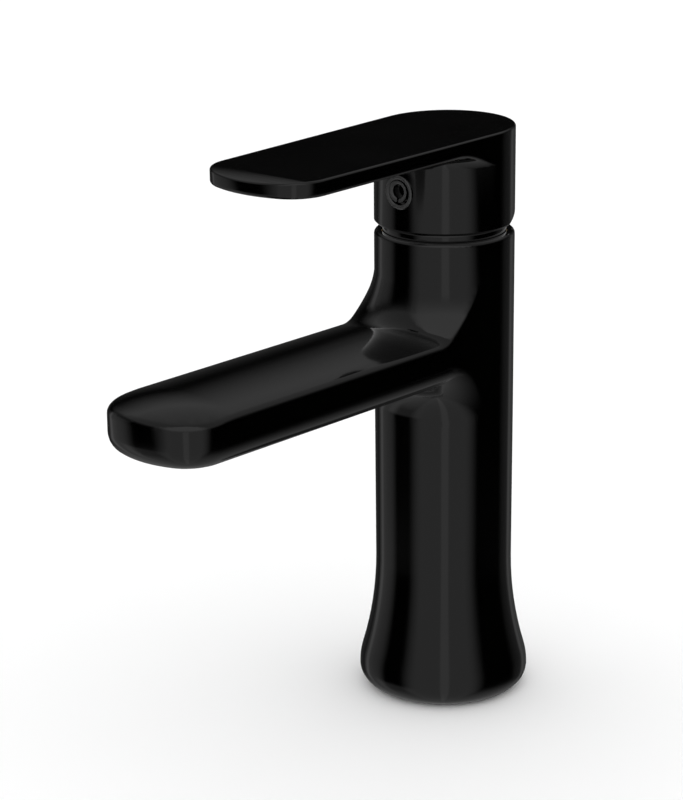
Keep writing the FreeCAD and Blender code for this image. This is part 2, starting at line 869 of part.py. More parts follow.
def hex_cell(centre, width, low, high):
    corners = []
    for index in range(7):
        corner = polar(centre, width / math.sqrt(3.0), math.radians(60.0 * index + 30.0))
        corners.append(FreeCAD.Vector(corner[0], corner[1], low))
    return Part.Face(Part.makePolygon(corners)).extrude(FreeCAD.Vector(0, 0, high - low))


def outlet_grid():
    disc = rod(aerator_bore_radius - seat_clearance, grid_bottom, grid_top, 0.0, aerator_y)
    return disc.cut(honeycomb(grid_cell_width, grid_cell_wall, grid_rings, grid_bottom, grid_top))


def aerator_core():
    """Cup with teeth-like slots around its floor, which break the water into jets."""
    radius = aerator_bore_radius - seat_clearance
    core = rod(radius, grid_top, sieve_bottom, 0.0, aerator_y)
    cuts = [rod(radius - core_wall, sieve_bottom - core_cup_depth, sieve_bottom, 0.0, aerator_y)]
    half = core_slot_width / 2.0
    slot = block((core_slot_inner, radius - core_wall), (-half, half), (grid_top, sieve_bottom))
    for index in range(core_slot_count):
        turned_slot = slot.rotated(origin, axis_up, 360.0 * index / core_slot_count)
        cuts.append(turned_slot.translated(FreeCAD.Vector(0, aerator_y, 0)))
    return core.cut(cuts)


def inlet_sieve():
    levels = (sieve_bottom, aerator_washer_bottom)
    disc = rod(aerator_bore_radius - seat_clearance, *levels, 0.0, aerator_y)
    return disc.cut(honeycomb(sieve_cell_width, sieve_cell_wall, sieve_rings, *levels))


pieces = [
    body_casting,
    base_seal,
    cartridge_nut,
    cover_ring,
    cartridge_housing,
    cartridge_base,
    port_seals,
    disc_seals,
    fixed_disc,
    moving_disc,
    disc_carrier,
    rotor,
    rotor_seal,
    pivot_pin,
    lever_stem,
    lever_handle,
    set_screw,
    indicator_plug,
    aerator_housing,
    aerator_washer,
    aerator_core,
    inlet_sieve,
    outlet_grid,
]

os.makedirs("parts", exist_ok=True)
for piece in pieces:
    shape = piece()
    if not shape.isValid():
        raise ValueError(piece.__name__ + " is not a valid solid")
    shape.exportStep("parts/" + piece.__name__ + ".step")
    print(piece.__name__, len(shape.Solids), round(shape.Volume, 1))
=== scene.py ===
"""Finishes of a single-lever basin mixer, laid out as an add-on around the loaded frame."""

import json
import math

import bpy
from mathutils import Matrix, Vector

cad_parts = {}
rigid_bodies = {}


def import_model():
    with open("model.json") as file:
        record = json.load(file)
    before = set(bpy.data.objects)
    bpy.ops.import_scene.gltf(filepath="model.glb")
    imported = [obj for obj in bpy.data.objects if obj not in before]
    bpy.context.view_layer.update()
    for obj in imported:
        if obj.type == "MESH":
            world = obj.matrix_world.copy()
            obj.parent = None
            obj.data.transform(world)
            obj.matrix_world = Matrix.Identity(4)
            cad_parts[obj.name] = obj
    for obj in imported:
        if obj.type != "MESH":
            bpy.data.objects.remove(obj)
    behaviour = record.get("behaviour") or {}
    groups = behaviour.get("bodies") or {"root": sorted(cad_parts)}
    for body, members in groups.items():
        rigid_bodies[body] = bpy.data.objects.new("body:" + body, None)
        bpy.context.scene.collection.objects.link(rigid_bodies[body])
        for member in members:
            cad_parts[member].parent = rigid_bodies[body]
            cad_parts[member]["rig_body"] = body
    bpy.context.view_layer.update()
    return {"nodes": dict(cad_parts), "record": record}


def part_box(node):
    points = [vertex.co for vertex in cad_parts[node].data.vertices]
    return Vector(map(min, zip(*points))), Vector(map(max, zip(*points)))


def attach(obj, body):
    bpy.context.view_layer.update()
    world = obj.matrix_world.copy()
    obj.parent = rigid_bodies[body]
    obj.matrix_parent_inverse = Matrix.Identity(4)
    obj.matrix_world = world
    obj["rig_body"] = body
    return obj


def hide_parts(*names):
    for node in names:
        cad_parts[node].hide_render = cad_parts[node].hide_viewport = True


bl_info = {
    "name": "Basin Mixer Finishes",
    "version": (1, 0, 0),
    "blender": (4, 5, 0),
    "location": "View3D > Sidebar > Mixer",
    "description": "Dresses a single-lever basin mixer and sets up its studio",
    "category": "Object",
}

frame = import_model()
nodes = frame["nodes"]

MM = 0.001
PHOTO_HEIGHT = 800.0
RIGHT_ANGLE = math.radians(90.0)
# Radians that the wave texture turns through in one unit, at a scale of one
WAVE_TURN = 20.0

# How meshes are mended and shaded: the gap that is closed, the angle below which faces are one flat face,
# the angle past which an edge stays sharp, and the area from which a flat face gets a border
MERGE = 0.002 * MM
FLAT_ANGLE = math.radians(0.2)
SHARP_ANGLE = math.radians(40.0)
LARGE_AREA = 200.0 * MM * MM

# The spout's root, a hair off the solids so that no faces coincide: outside them on the column and the
# underside, which the fillet covers, and inside them at the spout's two sides
COLUMN_RADIUS = 21.28 * MM
SPOUT_HALF_WIDTH = 20.19 * MM
SPOUT_UNDERSIDE = 105.56 * MM
SPOUT_ROUNDING = 6.2 * MM

# Rooms inside the castings, as far as the frame's boxes don't give them
BORE_SLACK = 0.3 * MM
COLUMN_WALL = 3.0 * MM
SEAL_ROOM = 0.5 * MM
CHAMBER_DEPTH = 3.0 * MM
CHAMBER_RISE = 6.4 * MM
DUCT_HALF_WIDTH = 3.1 * MM
SKIRT_GAP = 0.75 * MM
BLADE_DEPTH = 5.0 * MM


class MixerStage(bpy.types.PropertyGroup):
    """Where the camera stands and what the studio holds."""

    azimuth: bpy.props.FloatProperty(
        name="Azimuth", description="Camera's turn to the right of the spout", subtype="ANGLE",
        default=math.radians(39.4223))
    elevation: bpy.props.FloatProperty(
        name="Elevation", description="Camera's rise above the aim point", subtype="ANGLE",
        default=math.radians(17.8018))
    distance: bpy.props.FloatProperty(
        name="Distance", description="From the aim point to the camera", unit="LENGTH", default=815.1 * MM)
    aim_height: bpy.props.FloatProperty(
        name="Aim Height", description="Height of the aim point on the body's axis", unit="LENGTH",
        default=85.0 * MM)
    pan: bpy.props.FloatProperty(
        name="Pan", description="Turn of the camera to the left, which moves the body to the right",
        subtype="ANGLE", default=math.radians(2.3275))
    tilt: bpy.props.FloatProperty(
        name="Tilt", description="How much flatter the camera looks than at the aim point",
        subtype="ANGLE", default=math.radians(0.4924))
    roll: bpy.props.FloatProperty(
        name="Roll", description="Turn of the camera about its own axis", subtype="ANGLE",
        default=math.radians(-0.5395))
    focal_pixels: bpy.props.FloatProperty(
        name="Focal Length", description="Focal length in pixels of the 683 by 800 picture",
        default=2638.43)
    floor_size: bpy.props.FloatProperty(
        name="Floor Size", description="Side of the pale floor", unit="LENGTH", default=12.0)
    floor_colour: bpy.props.StringProperty(
        name="Floor Colour", description="Colour of the pale floor, sRGB hex", default="FAFAFA")
    ceiling_glow: bpy.props.FloatProperty(
        name="Ceiling Glow", description="Brightness of the ceiling in the gloss", default=0.37)
    floor_glow: bpy.props.FloatProperty(
        name="Floor Glow", description="Brightness of the floor in the gloss", default=0.42)
    inner_glow: bpy.props.FloatProperty(
        name="Inner Glow", description="Brightness above, where one glossy face mirrors another",
        default=1.1)
    throat_glow: bpy.props.FloatProperty(
        name="Throat Glow", description="Brightness below, where one glossy face mirrors another",
        default=0.8)
    fill: bpy.props.FloatProperty(
        name="Fill", description="Brightness of the room on matt faces", default=1.15)


class MixerFinish(bpy.types.PropertyGroup):
    """Colours and gloss of the finishes."""

    black: bpy.props.StringProperty(
        name="Black", description="Colour of the black plated finish, sRGB hex", default="010101")
    black_roughness: bpy.props.FloatProperty(
        name="Black Roughness", description="Roughness of the black plated finish", subtype="FACTOR",
        min=0.0, max=1.0, default=0.09)
    button: bpy.props.StringProperty(
        name="Button", description="Colour of the indicator button, sRGB hex", default="353535")
    brass: bpy.props.StringProperty(
        name="Brass", description="Colour of bare brass, sRGB hex", default="D0B070")
    zinc: bpy.props.StringProperty(
        name="Zinc", description="Colour of bare die-cast zinc, sRGB hex", default="9A9B9E")
    steel: bpy.props.StringProperty(
        name="Steel", description="Colour of bright steel, sRGB hex", default="C4C5C7")
    rubber: bpy.props.StringProperty(
        name="Rubber", description="Colour of the seals, sRGB hex", default="171717")
    white: bpy.props.StringProperty(
        name="White", description="Colour of the white moulded pieces, sRGB hex", default="E8E6DF")
    grey: bpy.props.StringProperty(
        name="Grey", description="Colour of the outlet grid, sRGB hex", default="8E9092")
    ceramic: bpy.props.StringProperty(
        name="Ceramic", description="Colour of the valve discs, sRGB hex", default="F2EFE8")


class MixerDetail(bpy.types.PropertyGroup):
    """Sizes of the details that the frame leaves to this script."""

    border: bpy.props.FloatProperty(
        name="Border", description="Narrow border set into each large flat face", unit="LENGTH",
        default=0.4 * MM)
    throat_cut: bpy.props.FloatProperty(
        name="Throat Cut", description="Height of the cut across the column just under the spout's fillet",
        unit="LENGTH", default=101.4 * MM)
    throat_height: bpy.props.FloatProperty(
        name="Throat Height", description="Height of the fillet under the spout's root, along the column",
        unit="LENGTH", default=13.5 * MM)
    throat_reach: bpy.props.FloatProperty(
        name="Throat Reach", description="Reach of the fillet under the spout's root, along the underside",
        unit="LENGTH", default=16.0 * MM)
    throat_rounding: bpy.props.FloatProperty(
        name="Throat Rounding", description="Rounding of the fillet's two sides where it meets the column",
        unit="LENGTH", default=2.5 * MM)
    metal_edge: bpy.props.FloatProperty(
        name="Metal Edge", description="Rounding of the small metal pieces' edges", unit="LENGTH",
        default=0.25 * MM)
    moulded_edge: bpy.props.FloatProperty(
        name="Moulded Edge", description="Rounding of the moulded pieces' edges", unit="LENGTH",
        default=0.2 * MM)
    cell_edge: bpy.props.FloatProperty(
        name="Cell Edge", description="Rounding of the aerator's fine cells", unit="LENGTH",
        default=0.08 * MM)
    seal_edge: bpy.props.FloatProperty(
        name="Seal Edge", description="Rounding of the seals", unit="LENGTH", default=0.5 * MM)
    hose_pitch: bpy.props.FloatProperty(
        name="Hose Pitch", description="Pitch of the fine thread for a supply hose", unit="LENGTH",
        default=1.0 * MM)
    stud_pitch: bpy.props.FloatProperty(
        name="Stud Pitch", description="Pitch of the thread for the mounting stud", unit="LENGTH",
        default=1.25 * MM)
    eye_side: bpy.props.FloatProperty(
        name="Eye Side", description="How far the button's eye sits to the left of its middle",
        unit="LENGTH", default=0.3 * MM)
    eye_rise: bpy.props.FloatProperty(
        name="Eye Rise", description="How far the button's eye sits above its middle", unit="LENGTH",
        default=0.3 * MM)


def linear(code):
    """Linear RGBA of an sRGB hex colour."""
    channels = []
    for place in (0, 2, 4):
        share = int(code[place:place + 2], 16) / 255.0
        channels.append(share / 12.92 if share <= 0.04045 else ((share + 0.055) / 1.055) ** 2.4)
    return (*channels, 1.0)


def shaded(colour, share):
    """A linear colour made this much darker, or lighter."""
    return (*(share * part for part in colour[:3]), 1.0)


def add_node(tree, kind, inputs=None, **settings):
    """A node with its settings; an input that is a socket is linked, and any other is set."""
    node = tree.nodes.new(kind)
    for name, value in settings.items():
        setattr(node, name, value)
    for name, value in (inputs or {}).items():
        if isinstance(value, bpy.types.NodeSocket):
            tree.links.new(value, node.inputs[name])
        else:
            node.inputs[name].default_value = value
    return node


def new_material(name):
    """A material without nodes, and its node tree."""
    material = bpy.data.materials.new(name)
    material.use_nodes = True
    material.node_tree.nodes.clear()
    return material, material.node_tree


def per_mm(size):
    """Texture scale whose pattern repeats about every so many millimetres."""
    return 1.0 / (size * MM)


def black_plated_metal(name, finish):
    """Black electroplating over polished metal: nearly black, mirror-like, with a trace of orange peel."""
    material, tree = new_material(name)
    place = add_node(tree, "ShaderNodeTexCoord").outputs["Object"]
    peel = add_node(tree, "ShaderNodeTexNoise", {"Vector": place, "Scale": per_mm(1.4), "Detail": 2.0})
    cloud = add_node(tree, "ShaderNodeTexNoise", {"Vector": place, "Scale": per_mm(26.0), "Detail": 3.0})
    gloss = add_node(tree, "ShaderNodeMapRange", {
        "Value": cloud.outputs["Fac"], "From Min": 0.3, "From Max": 0.7,
        "To Min": finish.black_roughness - 0.02, "To Max": finish.black_roughness + 0.02})
    relief = add_node(tree, "ShaderNodeBump", {
        "Height": peel.outputs["Fac"], "Strength": 0.05, "Distance": 0.01 * MM})
    shader = add_node(tree, "ShaderNodeBsdfPrincipled", {
        "Base Color": linear(finish.black), "Roughness": gloss.outputs["Result"],
        "Normal": relief.outputs["Normal"], "IOR": 1.5})
    add_node(tree, "ShaderNodeOutputMaterial", {"Surface": shader.outputs["BSDF"]})
    return material


def turned_brass(name, finish):
    """Brass fresh from the lathe: warm yellow, feed marks round the axis, a little darker in blotches."""
    material, tree = new_material(name)
    place = add_node(tree, "ShaderNodeTexCoord").outputs["Object"]
    # Feed marks of 0.1 mm wouldn't show, so they are drawn about 3 mm apart
    marks = add_node(tree, "ShaderNodeTexWave", {
        "Vector": place, "Scale": per_mm(3.14) * math.tau / WAVE_TURN, "Distortion": 0.6, "Detail": 2.0},
        bands_direction="Z")
    blotch = add_node(tree, "ShaderNodeTexNoise", {"Vector": place, "Scale": per_mm(7.0), "Detail": 4.0})
    bright = linear(finish.brass)
    tone = add_node(tree, "ShaderNodeMix", {
        "Factor": blotch.outputs["Fac"], "A": shaded(bright, 0.7), "B": bright},
        data_type="RGBA")
    gloss = add_node(tree, "ShaderNodeMapRange", {
        "Value": marks.outputs["Fac"], "To Min": 0.24, "To Max": 0.36})
    relief = add_node(tree, "ShaderNodeBump", {
        "Height": marks.outputs["Fac"], "Strength": 0.2, "Distance": 0.02 * MM})
    shader = add_node(tree, "ShaderNodeBsdfPrincipled", {
        "Base Color": tone.outputs["Result"], "Metallic": 1.0, "Roughness": gloss.outputs["Result"],
        "Normal": relief.outputs["Normal"]})
    add_node(tree, "ShaderNodeOutputMaterial", {"Surface": shader.outputs["BSDF"]})
    return material


def cast_zinc(name, finish):
    """Bare die-cast zinc: dull blue-grey skin with flow clouds and a fine grain."""
    material, tree = new_material(name)
    place = add_node(tree, "ShaderNodeTexCoord").outputs["Object"]
    cloud = add_node(tree, "ShaderNodeTexNoise", {
        "Vector": place, "Scale": per_mm(9.0), "Detail": 3.0, "Distortion": 0.8})
    # The skin's grain is finer than a pixel, so it is drawn 0.6 mm wide
    grain = add_node(tree, "ShaderNodeTexNoise", {"Vector": place, "Scale": per_mm(0.6), "Detail": 2.0})
    bright = linear(finish.zinc)
    tone = add_node(tree, "ShaderNodeMix", {
        "Factor": cloud.outputs["Fac"], "A": shaded(bright, 0.65), "B": bright},
        data_type="RGBA")
    gloss = add_node(tree, "ShaderNodeMapRange", {
        "Value": cloud.outputs["Fac"], "To Min": 0.38, "To Max": 0.55})
    relief = add_node(tree, "ShaderNodeBump", {
        "Height": grain.outputs["Fac"], "Strength": 0.25, "Distance": 0.05 * MM})
    shader = add_node(tree, "ShaderNodeBsdfPrincipled", {
        "Base Color": tone.outputs["Result"], "Metallic": 1.0, "Roughness": gloss.outputs["Result"],
        "Normal": relief.outputs["Normal"]})
    add_node(tree, "ShaderNodeOutputMaterial", {"Surface": shader.outputs["BSDF"]})
    return material


def bright_steel(name, finish):
    """Ground stainless steel: cool, bright, with faint grinding lines across the piece."""
    material, tree = new_material(name)
    place = add_node(tree, "ShaderNodeTexCoord").outputs["Object"]
    # Grinding lines of a few hundredths wouldn't show, so they are drawn 0.2 mm apart and 1.6 mm long
    drawn = add_node(tree, "ShaderNodeMapping", {"Vector": place, "Scale": (1.0, 1.0, 8.0)})
    lines = add_node(tree, "ShaderNodeTexNoise", {
        "Vector": drawn.outputs["Vector"], "Scale": per_mm(1.6), "Detail": 3.0})
    gloss = add_node(tree, "ShaderNodeMapRange", {
        "Value": lines.outputs["Fac"], "To Min": 0.16, "To Max": 0.34})
    relief = add_node(tree, "ShaderNodeBump", {
        "Height": lines.outputs["Fac"], "Strength": 0.1, "Distance": 0.01 * MM})
    shader = add_node(tree, "ShaderNodeBsdfPrincipled", {
        "Base Color": linear(finish.steel), "Metallic": 1.0, "Roughness": gloss.outputs["Result"],
        "Normal": relief.outputs["Normal"]})
    add_node(tree, "ShaderNodeOutputMaterial", {"Surface": shader.outputs["BSDF"]})
    return material


def satin_abs(name, finish):
    """Dark grey ABS from a satin mould: soft sheen broken by a fine even stipple."""
    material, tree = new_material(name)
    place = add_node(tree, "ShaderNodeTexCoord").outputs["Object"]
    # A stipple of 0.05 mm wouldn't show, so it is drawn 0.22 mm wide
    stipple = add_node(tree, "ShaderNodeTexNoise", {"Vector": place, "Scale": per_mm(0.22), "Detail": 1.0})
    cloud = add_node(tree, "ShaderNodeTexNoise", {"Vector": place, "Scale": per_mm(3.0), "Detail": 2.0})
    gloss = add_node(tree, "ShaderNodeMapRange", {
        "Value": cloud.outputs["Fac"], "To Min": 0.3, "To Max": 0.42})
    relief = add_node(tree, "ShaderNodeBump", {
        "Height": stipple.outputs["Fac"], "Strength": 0.15, "Distance": 0.02 * MM})
    shader = add_node(tree, "ShaderNodeBsdfPrincipled", {
        "Base Color": linear(finish.button), "Roughness": gloss.outputs["Result"],
        "Normal": relief.outputs["Normal"], "IOR": 1.54})
    add_node(tree, "ShaderNodeOutputMaterial", {"Surface": shader.outputs["BSDF"]})
    return material


def nitrile_rubber(name, finish):
    """Pressed nitrile rubber: matt black with a pale bloom in specks."""
    material, tree = new_material(name)
    place = add_node(tree, "ShaderNodeTexCoord").outputs["Object"]
    bloom = add_node(tree, "ShaderNodeTexNoise", {"Vector": place, "Scale": per_mm(2.5), "Detail": 4.0})
    speck = add_node(tree, "ShaderNodeTexNoise", {"Vector": place, "Scale": per_mm(0.3), "Detail": 2.0})
    dark = linear(finish.rubber)
    tone = add_node(tree, "ShaderNodeMix", {
        "Factor": bloom.outputs["Fac"], "A": dark, "B": shaded(dark, 2.2)},
        data_type="RGBA")
    relief = add_node(tree, "ShaderNodeBump", {
        "Height": speck.outputs["Fac"], "Strength": 0.3, "Distance": 0.03 * MM})
    shader = add_node(tree, "ShaderNodeBsdfPrincipled", {
        "Base Color": tone.outputs["Result"], "Roughness": 0.62, "Normal": relief.outputs["Normal"],
        "IOR": 1.52})
    add_node(tree, "ShaderNodeOutputMaterial", {"Surface": shader.outputs["BSDF"]})
    return material


def moulded_acetal(name, colour):
    """Moulded acetal: waxy and slightly soft to the eye, with broad flow marks."""
    material, tree = new_material(name)
    place = add_node(tree, "ShaderNodeTexCoord").outputs["Object"]
    flow = add_node(tree, "ShaderNodeTexNoise", {
        "Vector": place, "Scale": per_mm(6.0), "Detail": 2.0, "Distortion": 1.2})
    stipple = add_node(tree, "ShaderNodeTexNoise", {"Vector": place, "Scale": per_mm(0.35), "Detail": 1.0})
    pale = linear(colour)
    tone = add_node(tree, "ShaderNodeMix", {
        "Factor": flow.outputs["Fac"], "A": shaded(pale, 0.86), "B": pale},
        data_type="RGBA")
    gloss = add_node(tree, "ShaderNodeMapRange", {
        "Value": flow.outputs["Fac"], "To Min": 0.34, "To Max": 0.48})
    relief = add_node(tree, "ShaderNodeBump", {
        "Height": stipple.outputs["Fac"], "Strength": 0.1, "Distance": 0.02 * MM})
    shader = add_node(tree, "ShaderNodeBsdfPrincipled", {
        "Base Color": tone.outputs["Result"], "Roughness": gloss.outputs["Result"],
        "Normal": relief.outputs["Normal"], "IOR": 1.48})
    add_node(tree, "ShaderNodeOutputMaterial", {"Surface": shader.outputs["BSDF"]})
    return material


def white_acetal(name, finish):
    """White moulded acetal, as in the cartridge and the aerator."""
    return moulded_acetal(name, finish.white)


def grey_acetal(name, finish):
    """Grey moulded acetal, as in the outlet grid."""
    return moulded_acetal(name, finish.grey)


def lapped_alumina(name, finish):
    """Alumina ceramic lapped flat: ivory white, glassy where it slides, with fine dark grains."""
    material, tree = new_material(name)
    place = add_node(tree, "ShaderNodeTexCoord").outputs["Object"]
    # Grains of a few microns wouldn't show, so they are drawn 0.5 mm wide
    grains = add_node(tree, "ShaderNodeTexVoronoi", {"Vector": place, "Scale": per_mm(0.5)})
    pale = linear(finish.ceramic)
    tone = add_node(tree, "ShaderNodeMix", {
        "Factor": grains.outputs["Distance"], "A": shaded(pale, 0.9), "B": pale},
        data_type="RGBA")
    gloss = add_node(tree, "ShaderNodeMapRange", {
        "Value": grains.outputs["Distance"], "To Min": 0.1, "To Max": 0.2})
    shader = add_node(tree, "ShaderNodeBsdfPrincipled", {
        "Base Color": tone.outputs["Result"], "Roughness": gloss.outputs["Result"], "IOR": 1.76})
    add_node(tree, "ShaderNodeOutputMaterial", {"Surface": shader.outputs["BSDF"]})
    return material


def finish_of(maker):
    """The material of a maker function, made at its first use."""
    name = maker.__name__
    return bpy.data.materials.get(name) or maker(name, bpy.context.scene.mixer_finish)


def select_only(piece):
    """Makes one piece the active one and the only one that is selected."""
    bpy.ops.object.select_all(action="DESELECT")
    bpy.context.view_layer.objects.active = piece
    piece.select_set(True)


def merged_copy(node, name):
    """A copy of a CAD node whose loose triangles are joined and whose flat faces are whole again."""
    mesh = nodes[node].data.copy()
    mesh.materials.clear()
    piece = bpy.data.objects.new(name, mesh)
    bpy.context.scene.collection.objects.link(piece)
    select_only(piece)
    bpy.ops.object.mode_set(mode="EDIT")
    bpy.ops.mesh.select_all(action="SELECT")
    bpy.ops.mesh.customdata_custom_splitnormals_clear()
    bpy.ops.mesh.remove_doubles(threshold=MERGE)
    bpy.ops.mesh.dissolve_limited(angle_limit=FLAT_ANGLE)
    bpy.ops.mesh.select_all(action="DESELECT")
    bpy.ops.object.mode_set(mode="OBJECT")
    return piece


def set_in_borders(piece, width):
    """A narrow border in each large flat face, so that the rounded edges beside it shade on their own."""
    select_only(piece)
    for face in piece.data.polygons:
        face.select = face.area > LARGE_AREA
    bpy.ops.object.mode_set(mode="EDIT")
    bpy.ops.mesh.select_mode(type="FACE")
    bpy.ops.mesh.inset(thickness=width, use_even_offset=False)
    bpy.ops.object.mode_set(mode="OBJECT")
    bpy.ops.object.shade_smooth_by_angle(angle=SHARP_ANGLE)


def cut_across(piece, height, inner, outer):
    """An edge loop on an upright round wall, so that a fillet above it doesn't shade the wall below."""
    lean = 0.05
    near = 7.0 * MM
    select_only(piece)
    for face in piece.data.polygons:
        at = face.center
        upright = abs(face.normal.z) < lean and inner < math.hypot(at.x, at.y) < outer
        face.select = upright and abs(at.z - height) < near
    bpy.ops.object.mode_set(mode="EDIT")
    bpy.ops.mesh.select_mode(type="FACE")
    bpy.ops.mesh.bisect(plane_co=(0.0, 0.0, height), plane_no=(0.0, 0.0, 1.0))
    bpy.ops.mesh.select_all(action="DESELECT")
    bpy.ops.object.mode_set(mode="OBJECT")


def throat_fillet(height, reach, rounding):
    """The fillet under the spout's root: a disc, extruded across the spout and laid on its sections.

    Each section is an arc from the column to the underside, closed by one point sunk in the casting.
    """
    steps = 24
    points = 40
    sunk = 1.0 * MM
    bpy.ops.object.select_all(action="DESELECT")
    bpy.ops.mesh.primitive_circle_add(
        vertices=points, radius=1.0, fill_type="NGON", location=(0.0, 0.0, 0.0))
    piece = bpy.context.active_object
    bpy.ops.object.mode_set(mode="EDIT")
    bpy.ops.mesh.select_all(action="SELECT")
    for _ in range(4 * steps):
        bpy.ops.mesh.extrude_region_move(TRANSFORM_OT_translate={"value": (0.0, 0.0, 1.0)})
    bpy.ops.object.mode_set(mode="OBJECT")
    for vertex in piece.data.vertices:
        section = round(vertex.co.z) - 2 * steps
        place = round(math.atan2(vertex.co.y, vertex.co.x) / math.tau * points) % points
        # Up the arc, with the finest steps at its two ends, where it runs out into the casting
        part = min(place / (points - 2), 1.0)
        turn = RIGHT_ANGLE * part * part * (3.0 - 2.0 * part)
        # Across the spout, first over its flat underside and then round its lower edge
        bend = rounding + (SPOUT_ROUNDING - rounding) * math.sin(turn)
        lean = RIGHT_ANGLE * max(abs(section) / steps - 1.0, 0.0)
        across = (SPOUT_HALF_WIDTH - bend) * min(abs(section) / steps, 1.0) + bend * math.sin(lean)
        under = SPOUT_UNDERSIDE + bend * (1.0 - math.cos(lean))
        wall = -math.sqrt(COLUMN_RADIUS ** 2 - across ** 2)
        side = math.copysign(across, section)
        if place == points - 1:
            vertex.co = (side, wall + sunk, under + sunk)
        else:
            out = reach * (1.0 - math.cos(turn))
            drop = height * (1.0 - math.sin(turn))
            vertex.co = (side, wall - out, under - drop)
    bpy.ops.object.mode_set(mode="EDIT")
    bpy.ops.mesh.select_all(action="SELECT")
    bpy.ops.mesh.normals_make_consistent(inside=False)
    bpy.ops.mesh.select_all(action="DESELECT")
    bpy.ops.object.mode_set(mode="OBJECT")
    return piece


def unite(piece, other):
    """Makes one closed piece of two that overlap."""
    union = piece.modifiers.new("union", "BOOLEAN")
    union.operation = "UNION"
    union.solver = "EXACT"
    union.object = other
    select_only(piece)
    bpy.ops.object.modifier_apply(modifier=union.name)
    bpy.data.objects.remove(other)
    bpy.ops.object.shade_smooth_by_angle(angle=SHARP_ANGLE)


def round_edges(piece, width, segments):
    """The piece's sharp edges rounded to this width."""
    select_only(piece)
    rounding = piece.modifiers.new("rounding", "BEVEL")
    rounding.width = width
    rounding.segments = segments
    rounding.limit_method = "ANGLE"
    rounding.angle_limit = SHARP_ANGLE
    bpy.ops.object.modifier_apply(modifier=rounding.name)
    bpy.ops.object.shade_smooth_by_angle(angle=SHARP_ANGLE)


def dress(piece, node, *makers):
    """The piece gets its finishes, and stands for a CAD node on that node's body."""
    for maker in makers:
        piece.data.materials.append(finish_of(maker))
    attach(piece, nodes[node]["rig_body"])
    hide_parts(node)


def rounded_copies(rows):
    """Merged copies of CAD nodes with rounded edges: node, piece, finish, rounding and its segments."""
    for node, name, maker, width, segments in rows:
        piece = merged_copy(node, name)
        round_edges(piece, width, segments)
        dress(piece, node, maker)


def thread_ridge(name, radius, pitch, length):
    """A ridge wound upwards from the origin on a cylinder about Z, and closed at its ends."""
    half_width = 0.45 * pitch
    steps = 32
    bpy.ops.object.select_all(action="DESELECT")
    bpy.ops.mesh.primitive_circle_add(
        vertices=4, radius=half_width, location=(radius, 0.0, 0.5 * pitch),
        rotation=(RIGHT_ANGLE, 0.0, 0.0))
    ridge = bpy.context.active_object
    ridge.name = name
    bpy.ops.object.transform_apply()
    winding = ridge.modifiers.new("winding", "SCREW")
    winding.screw_offset = pitch
    winding.iterations = int(length / pitch) - 1
    winding.steps = steps
    winding.render_steps = steps
    bpy.ops.object.modifier_apply(modifier=winding.name)
    bpy.ops.object.mode_set(mode="EDIT")
    bpy.ops.mesh.select_all(action="SELECT")
    bpy.ops.mesh.fill_holes(sides=4)
    bpy.ops.mesh.select_all(action="SELECT")
    bpy.ops.mesh.normals_make_consistent(inside=False)
    bpy.ops.object.mode_set(mode="OBJECT")
    bpy.ops.object.shade_smooth_by_angle(angle=SHARP_ANGLE)
    return ridge


def move_to(piece, place):
    """Puts a finished piece in its place, which then stays in its mesh."""
    select_only(piece)
    piece.matrix_world = place @ piece.matrix_world
    bpy.ops.object.transform_apply()


class MIXER_OT_body(bpy.types.Operator):
    """Dress the body casting, plated outside and bare in its bores, and cut its threads"""

    bl_idname = "mixer.body"
    bl_label = "Body Casting"

    def execute(self, context):
        detail = context.scene.mixer_detail
        body = merged_copy("body_casting", "body_shell")
        nut_low, nut_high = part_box("cartridge_nut")
        bore = nut_high.x + BORE_SLACK
        cut_across(body, detail.throat_cut, bore, bore + COLUMN_WALL)
        set_in_borders(body, detail.border)
        fillet = throat_fillet(detail.throat_height, detail.throat_reach, detail.throat_rounding)
        unite(body, fillet)
        dress(body, "body_casting", black_plated_metal, turned_brass)
        seal_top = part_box("base_seal")[1].z + SEAL_ROOM
        low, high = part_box("aerator_housing")
        outlet = (low + high) / 2.0
        chamber_low = high.z - CHAMBER_DEPTH
        chamber_high = high.z + CHAMBER_RISE
        for face in body.data.polygons:
            at = face.center
            in_column = math.hypot(at.x, at.y) < bore and seal_top < at.z < nut_low.z
            in_outlet = math.hypot(at.x, at.y - outlet.y) < high.x + BORE_SLACK
            in_duct = abs(at.x) < DUCT_HALF_WIDTH and outlet.y < at.y < 0.0
            if in_column or (chamber_low < at.z < chamber_high and (in_outlet or in_duct)):
                face.material_index = 1
        for mount in frame["record"]["mounts"]:
            if mount["kind"] != "threaded_hole":
                continue
            pitch = detail.stud_pitch if mount["name"] == "stud_hole" else detail.hose_pitch
            dims = mount["dims"]
            ridge = thread_ridge(
                mount["name"] + "_thread", dims["r_mm"] * MM, pitch, dims["length_mm"] * MM)
            move_to(ridge, Matrix.Translation(mount["pos_m"]))
            ridge.data.materials.append(finish_of(turned_brass))
            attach(ridge, "body")
        return {"FINISHED"}


class MIXER_OT_lever(bpy.types.Operator):
    """Dress the lever handle, plated outside and bare zinc inside its skirt"""

    bl_idname = "mixer.lever"
    bl_label = "Lever Handle"

    def execute(self, context):
        lever = merged_copy("lever_handle", "lever_shell")
        set_in_borders(lever, context.scene.mixer_detail.border)
        dress(lever, "lever_handle", black_plated_metal, cast_zinc)
        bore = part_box("cover_ring")[1].x + SKIRT_GAP
        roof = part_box("lever_handle")[1].z - BLADE_DEPTH
        for face in lever.data.polygons:
            at = face.center
            if math.hypot(at.x, at.y) < bore and at.z < roof:
                face.material_index = 1
        return {"FINISHED"}


